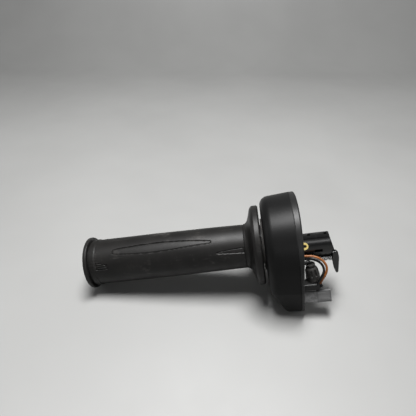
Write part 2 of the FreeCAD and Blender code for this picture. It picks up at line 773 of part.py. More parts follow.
def hook(outer):
    """The clip that hangs from the saddle's long side: a tapering plate with rounded edges."""
    front = -outer - 0.9
    outline = [(23.0, -2.0), (25.6, -1.6), (27.3, -3.4), (28.0, -7.8), (27.7, -21.4), (26.8, -22.4), (25.9, -22.1),
               (24.3, -17.0), (23.2, -10.0)]
    plate = prism([Vector(x, front, z) for x, z in outline], Vector(0, 3.0, 0))
    return fillet_where(plate, 0.6, lambda edge: True)


def radial_rod(x, angle, inner, outer, radius):
    """A round bar that points away from the handlebar's axis."""
    start = at_angle(angle, inner, x)
    return Part.makeCylinder(radius, outer - inner, start, at_angle(angle, outer, x) - start)


def make_sleeve_screws():
    """Three screws that hold the saddle's flange to the cover."""
    seat = size("parting + gasket_thickness") - size("sleeve_flange_thickness")
    screws = []
    for place in sleeve_screw_places():
        shank = rod(seat, -0.6, place.y, place.z, SLEEVE_SCREW)
        screws.append(shank.fuse(rod(seat - 1.2, seat, place.y, place.z, 1.6)).removeSplitter())
    feature("sleeve_screws", Part.makeCompound(screws))


def make_clamp_insert():
    """The brass insert in the saddle's wall."""
    place = size("insert_place")
    angle = size("insert_angle")
    inner = size("bar_bore + 0.5")
    outer = size("bar_bore + saddle_wall + 0.5")
    insert = radial_rod(place, angle, inner, outer, size("insert_radius"))
    insert = insert.cut(radial_rod(place, angle, inner - 1.0, outer + 1.0, size("insert_bore")))
    feature("clamp_insert", insert)


def make_clamp_screw():
    """The grub screw that bites on the handlebar."""
    place = size("insert_place")
    angle = size("insert_angle")
    inner = size("bar_bore + 0.4")
    outer = size("bar_bore + saddle_wall - 0.9")
    screw = radial_rod(place, angle, inner, outer, size("insert_bore"))
    screw = screw.cut(radial_rod(place, angle, outer - 1.0, outer + 1.0, 0.9))
    feature("clamp_screw", screw)


# ---------------------------------------------------------------- wires, plug and connector
def make_wire_grommet():
    """The collar that the two heater wires come out of."""
    length = size("grommet_length")
    radius = size("grommet_radius")
    top = Vector(0, BROWN_ROUTE[0].y, BROWN_ROUTE[0].z)
    foot = Vector(0, BLACK_ROUTE[0].y, BLACK_ROUTE[0].z)
    block = rod(0, length, top.y, top.z, radius).fuse(rod(0, length, foot.y, foot.z, radius))
    block = block.cut(rod(-OVERRUN, length + OVERRUN, 0, 0, size("bar_bore + saddle_wall + 0.05")))
    for place in (top, foot):
        block = block.cut(rod(-OVERRUN, length + OVERRUN, place.y, place.z, size("wire_radius")))
    feature("wire_grommet", block.removeSplitter())


def make_wires():
    """The two heater wires, from the grommet round to the plug."""
    feature("brown_wire", tube_along(BROWN_ROUTE, size("wire_radius")))
    feature("black_wire", tube_along(BLACK_ROUTE, size("wire_radius")))


def make_sensor_lead():
    """The short cable from the cover to the boot."""
    route = [Vector(-0.6, -19.2, -8.7), Vector(1.9, -18.9, -7.2), Vector(4.1, -18.3, -5.8),
             Vector(6.5, -18.05, -5.5), BOOT_TOP + (BOOT_FOOT - BOOT_TOP).normalize() * 0.6]
    feature("sensor_lead", tube_along(route, LEAD))


def make_cable_boot():
    """The bell-shaped, slotted strain relief with a collar round its narrow end."""
    axis = BOOT_FOOT - BOOT_TOP
    length = axis.Length
    along = Vector(axis).normalize()
    shoulder = 0.42 * length
    boot = Part.makeCone(2.0, 4.4, shoulder, BOOT_TOP, axis)
    boot = boot.fuse(Part.makeCone(4.4, 4.9, length - shoulder, BOOT_TOP + along * shoulder, axis))
    boot = boot.fuse(Part.makeCylinder(2.5, 1.5, BOOT_TOP, axis))
    side = along.cross(Vector(0, -1, 0)).normalize()
    turned = Placement(BOOT_TOP, Rotation(side, along.cross(side), along, "ZXY"))
    for turn in range(9):
        slot = Part.makeBox(1.0, 3.0, length - 5.6, Vector(-0.5, 3.8, 3.2))
        slot.Placement = turned.multiply(Placement(Vector(), Rotation(Vector(0, 0, 1), 40.0 * turn)))
        boot = boot.cut(slot)
    boot = boot.cut(Part.makeCylinder(LEAD, 0.8, BOOT_TOP - along * 0.2, axis))
    feature("cable_boot", boot.removeSplitter())


def make_heater_plug():
    """The black plug that the boot and both wires end in, with its latch at the tip."""
    body = Part.makeBox(12.2, 7.6, 5.6, PLUG_CENTRE - Vector(0, 3.8, 2.8))
    body = fillet_where(body, 1.2, lambda edge: edge.BoundBox.XMin > 0.5 or edge.BoundBox.XLength > 5)
    eye = PLUG_CENTRE + Vector(12.2, -2.6, 0.4)
    latch = Part.makeCylinder(1.9, 3.4, eye, Vector(0, 1, 0))
    latch = latch.cut(Part.makeCylinder(0.9, 5.0, eye + Vector(0.2, -0.9, 0), Vector(0, 1, 0)))
    feature("heater_plug", body.fuse(latch).removeSplitter())


def make_signal_socket():
    """The connector's half that is fixed to the cover."""
    seam = size("connector_seam")
    wide = 0.5 * size("connector_width")
    deep = 0.5 * size("connector_thickness")
    block = connector_block(0, seam, wide, deep)
    block = block.makeFillet(0.7, [edge for edge in block.Edges if edge.BoundBox.XLength > 5])
    feature("signal_socket", with_pin_holes(block))


def with_pin_holes(block):
    """The block with a hole for each terminal pin."""
    for place in pin_places():
        block = block.cut(rod(-OVERRUN, FAR, place.y, place.z, PIN))
    return block


PIN = 0.45


def pin_places():
    """The connector's terminals, three in a row, as (y, z)."""
    lean = math.radians(35.3)
    return [CONNECTOR_CENTRE + Vector(0, -math.sin(lean), -math.cos(lean)) * step for step in (-2.3, 0.0, 2.3)]


def make_signal_plug():
    """The connector's open half, with its ridged grip and mouth."""
    seam = size("connector_seam")
    end = size("connector_length")
    wall = size("connector_wall")
    step = size("connector_step")
    wide = 0.5 * size("connector_width") + step
    deep = 0.5 * size("connector_thickness") + step
    block = connector_block(seam, end, wide, deep)
    block = block.makeFillet(0.7, [edge for edge in block.Edges if edge.BoundBox.XLength > 5])
    block = block.cut(connector_block(end - size("connector_mouth"), end + OVERRUN, wide - wall, deep - wall))
    feature("signal_plug", with_pin_holes(block))


def make_terminal_pins():
    """Three pins from the circuit board through the cover into the connector's mouth."""
    start = size("board_end")
    end = size("connector_length - connector_mouth + 2.4")
    feature("terminal_pins", Part.makeCompound([rod(start, end, place.y, place.z, PIN) for place in pin_places()]))


make_throttle_tube()
make_tube_disc()
make_heater_foil()
make_grip_rubber()
make_grip_flange()
make_end_ring()
make_housing_shell()
make_back_cover()
make_cover_gasket()
make_cover_screws()
make_tube_bush()
make_dust_washer()
make_drive_gear()
make_sensor_gear()
make_sensor_magnet()
make_sensor_axle()
make_sensor_board()
make_board_screws()
make_hall_sensors()
make_return_spring()
make_heater_flex()
make_bar_saddle()
make_sleeve_screws()
make_clamp_insert()
make_clamp_screw()
make_wire_grommet()
make_wires()
make_sensor_lead()
make_cable_boot()
make_heater_plug()
make_signal_socket()
make_signal_plug()
make_terminal_pins()
doc.recompute()

for thing in doc.Objects:
    if "Invalid" in thing.State or "Error" in thing.State:
        raise RuntimeError(f"{thing.Label} failed: {thing.State}")
for thing in NODES:
    if thing.Shape.isNull() or not thing.Shape.isValid():
        raise RuntimeError(f"{thing.Label} has no valid shape")

os.makedirs("parts", exist_ok=True)
for thing in NODES:
    thing.Shape.exportStep(f"parts/{thing.Label}.step")
    print(thing.Label, len(thing.Shape.Solids), "solids", round(thing.Shape.Volume, 1), "mm3")
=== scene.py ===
"""The looks of a heated twist throttle grip: rubber sleeve, sensor housing, bar saddle, wires and connectors.

The frame's axes: +X along the handlebar towards the middle of the bike, -Y forward, +Z up.
Sizes in the classes are millimetres; everything that goes into Blender is in metres.
Angles round the handlebar start straight up and grow towards the front.
"""

import logging
import math
from collections.abc import Callable, Sequence
from dataclasses import dataclass, field
from enum import Enum

import bmesh
import bpy
import numpy as np
from mathutils import Matrix, Vector

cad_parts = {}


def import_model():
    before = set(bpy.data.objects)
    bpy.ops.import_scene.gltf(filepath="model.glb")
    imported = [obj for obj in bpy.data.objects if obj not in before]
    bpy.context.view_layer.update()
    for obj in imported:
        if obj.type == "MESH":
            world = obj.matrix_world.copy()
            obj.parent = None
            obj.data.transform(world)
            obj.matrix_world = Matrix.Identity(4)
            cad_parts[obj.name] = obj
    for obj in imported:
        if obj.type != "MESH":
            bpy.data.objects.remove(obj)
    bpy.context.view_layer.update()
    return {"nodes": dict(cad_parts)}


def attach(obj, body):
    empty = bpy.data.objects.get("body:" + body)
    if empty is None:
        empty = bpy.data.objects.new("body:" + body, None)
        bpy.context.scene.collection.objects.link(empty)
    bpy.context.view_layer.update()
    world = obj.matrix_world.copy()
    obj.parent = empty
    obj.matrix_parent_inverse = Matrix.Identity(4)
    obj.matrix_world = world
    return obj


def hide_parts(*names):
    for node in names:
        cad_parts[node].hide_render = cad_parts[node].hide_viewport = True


MM = 0.001
LOG = logging.getLogger("throttle_grip")

Point2 = tuple[float, float]
Point3 = tuple[float, float, float]
Colour = tuple[float, float, float]


# ---------------------------------------------------------------- shader maths
class Field:
    """A value or colour that varies over a surface, as one output socket of a material."""

    def __init__(self, surface: "Surface", socket: bpy.types.NodeSocket) -> None:
        """Keeps the socket and the surface it belongs to."""
        self.surface = surface
        self.socket = socket

    def _math(self, operation: str, first: "Field | float", second: "Field | float") -> "Field":
        """Adds one Math node.

        Args:
            operation: the Math node's operation.
            first: the first operand.
            second: the second operand.

        Returns:
            The node's result.
        """
        return self.surface.add("ShaderNodeMath", {"operation": operation}, {0: first, 1: second})

    def __add__(self, other: "Field | float") -> "Field":
        """self + other."""
        return self._math("ADD", self, other)

    def __radd__(self, other: float) -> "Field":
        """other + self."""
        return self._math("ADD", other, self)

    def __sub__(self, other: "Field | float") -> "Field":
        """self - other."""
        return self._math("SUBTRACT", self, other)

    def __rsub__(self, other: float) -> "Field":
        """other - self."""
        return self._math("SUBTRACT", other, self)

    def __mul__(self, other: "Field | float") -> "Field":
        """self * other."""
        return self._math("MULTIPLY", self, other)

    def __rmul__(self, other: float) -> "Field":
        """other * self."""
        return self._math("MULTIPLY", other, self)

    def __truediv__(self, other: "Field | float") -> "Field":
        """self / other."""
        return self._math("DIVIDE", self, other)

    def __rtruediv__(self, other: float) -> "Field":
        """other / self."""
        return self._math("DIVIDE", other, self)

    def __pow__(self, other: float) -> "Field":
        """self to a power."""
        return self._math("POWER", self, other)

    def wave(self) -> "Field":
        """The sine of this value, which is in radians."""
        return self._math("SINE", self, 0.0)

    def highest(self, other: "Field | float") -> "Field":
        """The larger of this value and another."""
        return self._math("MAXIMUM", self, other)

    def step(self, low: float, high: float) -> "Field":
        """A smooth step of this value.

        Args:
            low: where the step starts; above high, the step falls.
            high: where the step ends.

        Returns:
            0 before the step and 1 after it.
        """
        settings = {"interpolation_type": "SMOOTHSTEP", "clamp": True}
        return self.surface.add("ShaderNodeMapRange", settings, {0: self, 1: low, 2: high, 3: 0.0, 4: 1.0})


class Surface:
    """A material under construction round one Principled shader."""

    def __init__(self, name: str) -> None:
        """Starts a material with a shader and an output."""
        self.material = bpy.data.materials.new(name)
        self.material.use_nodes = True
        self.tree = self.material.node_tree
        self.tree.nodes.clear()
        self.shader = self.tree.nodes.new("ShaderNodeBsdfPrincipled")
        output = self.tree.nodes.new("ShaderNodeOutputMaterial")
        self.tree.links.new(self.shader.outputs[0], output.inputs["Surface"])
        place = self.add("ShaderNodeTexCoord", output="Object")
        self.place = place
        self.axes = self.add("ShaderNodeSeparateXYZ", inputs={0: place}).socket.node

    def add(
        self,
        kind: str,
        settings: dict[str, object] | None = None,
        inputs: dict[int | str, object] | None = None,
        output: int | str = 0,
    ) -> Field:
        """Adds a node of any type.

        Args:
            kind: the node's type.
            settings: its own settings, set before its sockets.
            inputs: a value or a Field for each input socket, by number or name.
            output: which output is wanted.

        Returns:
            That output.
        """
        node = self.tree.nodes.new(kind)
        for name, value in (settings or {}).items():
            setattr(node, name, value)
        for name, value in (inputs or {}).items():
            if isinstance(value, Field):
                self.tree.links.new(value.socket, node.inputs[name])
            else:
                node.inputs[name].default_value = value
        return Field(self, node.outputs[output])

    def axis(self, letter: str) -> Field:
        """The position along X, Y or Z, in metres."""
        return Field(self, self.axes.outputs[letter])

    def stretched(self, scale: Point3) -> Field:
        """The position, scaled along each axis."""
        return self.add("ShaderNodeMapping", inputs={"Vector": self.place, "Scale": scale})

    def noise(self, size: float, detail: float = 3.0, rough: float = 0.55, place: Field | None = None) -> Field:
        """Fractal noise.

        Args:
            size: the size of its largest blotches, in millimetres.
            detail: how many finer layers it has.
            rough: how strong the finer layers are.
            place: where it is read; the position by default.

        Returns:
            The noise, about 0.5 on average.
        """
        sockets = {"Vector": place or self.place, "Scale": 1.0 / (size * MM), "Detail": detail, "Roughness": rough}
        return self.add("ShaderNodeTexNoise", {"noise_dimensions": "3D"}, sockets)

    def cells(self, size: float) -> Field:
        """The distance to the nearest of scattered points that lie about a size in millimetres apart."""
        return self.add("ShaderNodeTexVoronoi", {"feature": "F1"}, {"Vector": self.place, "Scale": 1.0 / (size * MM)})

    def blend(self, share: Field | float, first: Field | Colour, second: Field | Colour) -> Field:
        """Mixes two colours.

        Args:
            share: how much of the second there is.
            first: the first colour.
            second: the second colour.

        Returns:
            The mixed colour.
        """
        settings = {"data_type": "RGBA", "blend_type": "MIX", "clamp_factor": True}
        sides = [(*c, 1.0) if isinstance(c, tuple) else c for c in (first, second)]
        return self.add("ShaderNodeMix", settings, {0: share, 6: sides[0], 7: sides[1]}, 2)

    def set(self, socket: str, value: Field | float | Colour) -> None:
        """Sets or links one of the shader's own sockets.

        Args:
            socket: the socket's name.
            value: a constant, or what varies over the surface.
        """
        target = self.shader.inputs[socket]
        if isinstance(value, Field):
            self.tree.links.new(value.socket, target)
        else:
            target.default_value = (*value, 1.0) if isinstance(value, tuple) else value

    def relief(self, height: Field) -> None:
        """Gives the surface a fine relief, whose height is in metres."""
        self.set("Normal", self.add("ShaderNodeBump", inputs={"Strength": 1.0, "Distance": 1.0, "Height": height}))


class Pattern(Enum):
    """What a finish shows beyond its grain and its scuffs."""

    PLAIN = "plain"
    TURNED = "turned"
    FLOW = "flow"
    FIBRES = "fibres"
    TRACKS = "tracks"
    LAMINATE = "laminate"


@dataclass(frozen=True)
class Finish:
    """One moulded, metal or woven finish: colours are linear, sizes are millimetres."""

    name: str
    base: Colour
    shade: Colour
    worn: Colour
    roughness: float = 0.5
    roughness_spread: float = 0.12
    grain_size: float = 0.35
    grain_depth: float = 0.012
    blotch_size: float = 14.0
    scuffs: float = 0.3
    specks: float = 0.0
    metallic: float = 0.0
    specular: float = 0.5
    coat: float = 0.0
    pattern: Pattern = Pattern.PLAIN

    def _pattern(self, surface: Surface) -> Field | None:
        """The share of the pattern at each place.

        Args:
            surface: the material under construction.

        Returns:
            The share from 0 to 1, or None for a plain finish.
        """
        if self.pattern is Pattern.TURNED:
            return surface.noise(0.5, 2.0, 0.6, surface.stretched((1.0, 0.06, 0.06))).step(0.35, 0.65)
        if self.pattern is Pattern.FLOW:
            return surface.noise(2.2, 5.0, 0.75).step(0.38, 0.62)
        if self.pattern is Pattern.FIBRES:
            return surface.noise(0.6, 4.0, 0.8, surface.stretched((0.5, 1.0, 2.0))).step(0.3, 0.7)
        if self.pattern is Pattern.TRACKS:
            return (surface.axis("X") * (2 * math.pi / (2.6 * MM))).wave().step(-0.1, 0.1)
        if self.pattern is Pattern.LAMINATE:
            across = (surface.axis("Y") * (2 * math.pi / (1.9 * MM))).wave()
            down = (surface.axis("Z") * (2 * math.pi / (2.7 * MM))).wave()
            return across.highest(down).step(0.86, 0.92)
        return None

    def material(self) -> bpy.types.Material:
        """Builds the finish.

        Returns:
            The material.
        """
        surface = Surface(self.name)
        blotches = surface.noise(self.blotch_size, 4.0)
        grain = surface.noise(self.grain_size, 2.0, 0.5)
        pores = surface.cells(self.grain_size * 1.7)
        scratches = surface.noise(3.0, 5.0, 0.7, surface.stretched((0.16, 1.7, 1.7))).step(0.56, 0.70)
        rubbed = surface.noise(self.blotch_size * 0.8, 6.0, 0.68).step(0.52, 0.74)
        scuff = (scratches * 0.6 + rubbed).step(0.1, 1.5) * self.scuffs
        colour = surface.blend(blotches.step(0.35, 0.65), self.base, self.shade)
        height = (grain + pores * 0.5) * (self.grain_depth * MM) - scratches * (0.35 * self.grain_depth * MM)
        rough = blotches * (2 * self.roughness_spread) + (self.roughness - self.roughness_spread)
        share = self._pattern(surface)
        if share is not None:
            colour = surface.blend(share * 0.75, colour, self.worn)
            height = height + share * (0.6 * self.grain_depth * MM)
            rough = rough + share * (0.5 * self.roughness_spread)
        colour = surface.blend(scuff, colour, self.worn)
        if self.specks > 0:
            specks = surface.cells(2.6).step(0.16, 0.06) * surface.noise(9.0, 2.0).step(0.5, 0.62)
            colour = surface.blend(specks * self.specks, colour, self.worn)
        surface.set("Base Color", colour)
        surface.set("Roughness", rough + grain * 0.06 - 0.03)
        surface.set("Metallic", self.metallic)
        surface.set("Specular IOR Level", self.specular)
        if self.coat > 0:
            surface.set("Coat Weight", self.coat)
            surface.set("Coat Roughness", 0.18)
        surface.relief(height)
        return surface.material


def grey(level: float, warmth: float = 0.0) -> Colour:
    """A grey of some lightness, a little warmer or cooler."""
    return (level * (1 + warmth), level, level * (1 - warmth))


SLEEVE_RUBBER = Finish("sleeve_rubber", grey(0.0085, 0.06), grey(0.0050, 0.06), grey(0.042, 0.06), 0.45, 0.09, 0.30, 0.018, 16.0, 0.85, 0.5, 0.0, 0.21)
RING_RUBBER = Finish("ring_rubber", grey(0.0105, 0.05), grey(0.0075, 0.05), grey(0.050, 0.05), 0.44, 0.08, 0.28, 0.014, 9.0, 0.7, 0.3, 0.0, 0.22)
BOOT_RUBBER = Finish("boot_rubber", grey(0.020, 0.05), grey(0.013, 0.05), grey(0.06, 0.06), 0.50, 0.08, 0.22, 0.016, 3.0, 0.7, 0.0, 0.0, 0.2)
SEAL_RUBBER = Finish("seal_rubber", grey(0.010), grey(0.007), grey(0.03), 0.7, 0.08, 0.25, 0.012, 6.0, 0.3, 0.0, 0.0, 0.12)
HOUSING_PLASTIC = Finish("housing_plastic", grey(0.0070), grey(0.0055), grey(0.026), 0.39, 0.06, 0.24, 0.010, 26.0, 0.4, 0.3, 0.0, 0.085)
COVER_PLASTIC = Finish("cover_plastic", grey(0.013), grey(0.010), grey(0.040), 0.38, 0.07, 0.24, 0.010, 20.0, 0.4, 0.3, 0.0, 0.16)
SADDLE_PLASTIC = Finish("saddle_plastic", grey(0.007), grey(0.005), grey(0.03), 0.21, 0.04, 0.30, 0.005, 9.0, 0.25, 0.0, 0.0, 0.42)
TUBE_PLASTIC = Finish("tube_plastic", grey(0.020), grey(0.014), grey(0.07), 0.45, 0.08, 0.3, 0.01, 10.0, 0.5, pattern=Pattern.TURNED)
PLUG_PLASTIC = Finish("plug_plastic", grey(0.008), grey(0.005), grey(0.04), 0.40, 0.08, 0.22, 0.007, 4.0, 0.3, 0.0, 0.0, 0.2)
CONNECTOR_GREY = Finish("connector_grey", grey(0.052), grey(0.036), grey(0.115), 0.5, 0.08, 0.22, 0.012, 3.0, 0.35, 0.0, 0.0, 0.4, pattern=Pattern.FLOW)
CONNECTOR_SHELL = Finish("connector_shell", grey(0.055), grey(0.044), grey(0.11), 0.46, 0.08, 0.22, 0.008, 4.0, 0.35, 0.0, 0.0, 0.4)
GEAR_PLASTIC = Finish("gear_plastic", (0.62, 0.58, 0.46), (0.54, 0.50, 0.39), (0.72, 0.70, 0.62), 0.38, 0.08, 0.4, 0.006, 5.0, 0.3)
BUSH_PLASTIC = Finish("bush_plastic", (0.22, 0.15, 0.07), (0.17, 0.11, 0.05), (0.33, 0.26, 0.16), 0.42, 0.08, 0.3, 0.008, 5.0, 0.3, pattern=Pattern.TURNED)
FELT = Finish("felt", (0.045, 0.043, 0.040), (0.028, 0.027, 0.026), (0.10, 0.095, 0.09), 0.92, 0.05, 0.25, 0.08, 5.0, 0.3, pattern=Pattern.FIBRES)
SCREW_STEEL = Finish("screw_steel", (0.52, 0.52, 0.50), (0.42, 0.42, 0.41), (0.66, 0.65, 0.60), 0.32, 0.1, 0.25, 0.005, 2.5, 0.4, metallic=1.0, pattern=Pattern.TURNED)
PIN_STEEL = Finish("pin_steel", (0.60, 0.60, 0.60), (0.50, 0.50, 0.51), (0.72, 0.71, 0.70), 0.24, 0.08, 0.2, 0.004, 3.0, 0.3, metallic=1.0, pattern=Pattern.TURNED)
MAGNET_NICKEL = Finish("magnet_nickel", (0.55, 0.53, 0.49), (0.47, 0.45, 0.42), (0.30, 0.28, 0.26), 0.28, 0.1, 0.25, 0.005, 2.5, 0.4, metallic=1.0)
SPRING_STEEL = Finish("spring_steel", (0.30, 0.31, 0.34), (0.20, 0.21, 0.25), (0.44, 0.40, 0.34), 0.34, 0.1, 0.2, 0.004, 6.0, 0.4, metallic=1.0, pattern=Pattern.TURNED)
INSERT_BRASS = Finish("insert_brass", (0.95, 0.70, 0.16), (0.86, 0.58, 0.10), (1.0, 0.88, 0.42), 0.34, 0.08, 0.2, 0.006, 1.8, 0.3, metallic=0.45, pattern=Pattern.TURNED)
TERMINAL_METAL = Finish("terminal_metal", (0.70, 0.62, 0.42), (0.60, 0.52, 0.34), (0.80, 0.76, 0.62), 0.28, 0.08, 0.2, 0.003, 1.5, 0.3, metallic=1.0)
BLACK_STEEL = Finish("black_steel", (0.06, 0.06, 0.065), (0.035, 0.035, 0.04), (0.28, 0.27, 0.26), 0.4, 0.1, 0.2, 0.005, 1.5, 0.4, metallic=0.9)
BOARD_LAMINATE = Finish("board_laminate", (0.012, 0.085, 0.035), (0.009, 0.065, 0.028), (0.035, 0.17, 0.075), 0.35, 0.08, 0.3, 0.006, 6.0, 0.15, coat=0.4, pattern=Pattern.LAMINATE)
CHIP_EPOXY = Finish("chip_epoxy", grey(0.02), grey(0.014), grey(0.07), 0.6, 0.08, 0.15, 0.008, 1.2, 0.3)
HEATER_FILM = Finish("heater_film", (0.34, 0.12, 0.02), (0.27, 0.09, 0.015), (0.60, 0.32, 0.14), 0.3, 0.08, 0.4, 0.005, 12.0, 0.25, coat=0.3, pattern=Pattern.TRACKS)
FLEX_FILM = Finish("flex_film", (0.30, 0.11, 0.018), (0.22, 0.08, 0.012), (0.52, 0.27, 0.12), 0.32, 0.08, 0.3, 0.005, 5.0, 0.25, coat=0.3, pattern=Pattern.TRACKS)
BROWN_INSULATION = Finish("brown_insulation", (0.22, 0.075, 0.016), (0.16, 0.050, 0.010), (0.36, 0.16, 0.05), 0.42, 0.08, 0.3, 0.006, 2.5, 0.35, 0.0, 0.0, 0.3)
BLACK_INSULATION = Finish("black_insulation", grey(0.007), grey(0.005), grey(0.03), 0.4, 0.08, 0.3, 0.006, 2.5, 0.25, 0.0, 0.0, 0.2)


class FinishRack:
    """Builds each finish once and hands it out."""

    def __init__(self) -> None:
        """Starts with an empty rack."""
        self._made: dict[str, bpy.types.Material] = {}

    def get(self, finish: Finish) -> bpy.types.Material:
        """The material of a finish, built the first time it is asked for."""
        if finish.name not in self._made:
            self._made[finish.name] = finish.material()
        return self._made[finish.name]

    def dress(self, thing: bpy.types.Object, finish: Finish) -> None:
        """Puts a finish on every material slot of a piece.

        Args:
            thing: the piece.
            finish: its finish.
        """
        material = self.get(finish)
        if not thing.material_slots:
            thing.data.materials.append(material)
        for place in thing.material_slots:
            place.material = material
        LOG.info("dressed %s in %s", thing.name, finish.name)


# ---------------------------------------------------------------- mesh helpers
def softened(corners: Sequence[tuple[float, float, float]], steps: int = 5) -> list[Point2]:
    """Rounds the corners of a closed outline.

    Args:
        corners: (x, y, reach) of each corner; reach is how far back along its two sides the rounding starts.
        steps: how many chords a rounded corner has.

    Returns:
        The outline's points.
    """
    outline: list[Point2] = []
    count = len(corners)
    for index, (x, y, reach) in enumerate(corners):
        if reach <= 0:
            outline.append((x, y))
            continue
        here = Vector((x, y))
        before = Vector(corners[index - 1][:2]) - here
        after = Vector(corners[(index + 1) % count][:2]) - here
        enter = here + before.normalized() * min(reach, 0.49 * before.length)
        leave = here + after.normalized() * min(reach, 0.49 * after.length)
        for step in range(steps + 1):
            t = step / steps
            outline.append(tuple(enter * (1 - t) ** 2 + here * 2 * t * (1 - t) + leave * t**2))
    return outline


def refined(outline: Sequence[Point2], longest: float) -> list[Point2]:
    """Divides the long sides of a closed outline.

    Args:
        outline: its points.
        longest: the longest side allowed.

    Returns:
        The points with new ones between them.
    """
    points: list[Point2] = []
    for index, start in enumerate(outline):
        end = outline[(index + 1) % len(outline)]
        pieces = max(1, math.ceil(math.dist(start, end) / longest))
        for step in range(pieces):
            t = step / pieces
            points.append((start[0] + (end[0] - start[0]) * t, start[1] + (end[1] - start[1]) * t))
    return points


def smooth_step(value: np.ndarray, low: float, high: float) -> np.ndarray:
    """A smooth step from 0 at low to 1 at high."""
    share = np.clip((value - low) / (high - low), 0.0, 1.0)
    return share * share * (3 - 2 * share)


def grid_faces(rows: int, columns: int, closed_rows: bool) -> list[tuple[int, int, int, int]]:
    """Faces of a grid of points that closes round its columns.

    Args:
        rows: how many rings of points there are.
        columns: how many points each ring has.
        closed_rows: whether the last ring joins the first.

    Returns:
        Four point numbers for each face.
    """
    faces = []
    for row in range(rows if closed_rows else rows - 1):
        low, high = row * columns, ((row + 1) % rows) * columns
        for column in range(columns):
            after = (column + 1) % columns
            faces.append((low + column, low + after, high + after, high + column))
    return faces


def mesh_piece(name: str, points: np.ndarray, faces: Sequence[Sequence[int]], crease: float = 35.0) -> bpy.types.Object:
    """Makes a smooth-shaded mesh piece.

    Args:
        name: the piece's name.
        points: its points, in metres.
        faces: point numbers of each face.
        crease: edges sharper than this, in degrees, stay sharp.

    Returns:
        The piece, linked to the scene.
    """
    mesh = bpy.data.meshes.new(name)
    mesh.from_pydata(points.tolist(), [], [list(face) for face in faces])
    work = bmesh.new()
    work.from_mesh(mesh)
    bmesh.ops.recalc_face_normals(work, faces=work.faces)
    work.to_mesh(mesh)
    work.free()
    mesh.polygons.foreach_set("use_smooth", [True] * len(mesh.polygons))
    mesh.set_sharp_from_angle(angle=math.radians(crease))
    piece = bpy.data.objects.new(name, mesh)
    bpy.context.scene.collection.objects.link(piece)
    LOG.info("made %s with %d faces", name, len(mesh.polygons))
    return piece


def turned(
    name: str,
    outline: Sequence[Point2],
    around: int,
    swell: Callable[[np.ndarray, np.ndarray, np.ndarray], np.ndarray] | None = None,
) -> bpy.types.Object:
    """Turns a closed outline about the handlebar's axis.

    Args:
        name: the piece's name.
        outline: its (x, radius) points in millimetres.
        around: how many points go round.
        swell: what is added to the radius, from x, radius and the angle in degrees.

    Returns:
        The piece.
    """
    flat = np.array(outline, float)
    x = np.repeat(flat[:, :1], around, axis=1)
    radius = np.repeat(flat[:, 1:], around, axis=1)
    angle = np.repeat(np.arange(around)[None, :] * (360.0 / around), len(flat), axis=0)
    if swell is not None:
        radius = radius + swell(x, radius, angle)
    turn = np.radians(angle)
    points = np.stack([x, -radius * np.sin(turn), radius * np.cos(turn)], axis=-1).reshape(-1, 3) * MM
    return mesh_piece(name, points, grid_faces(len(flat), around, True))


def metres(points: Sequence[Point3]) -> list[Point3]:
    """Points in metres from points in millimetres."""
    return [(x * MM, y * MM, z * MM) for x, y, z in points]


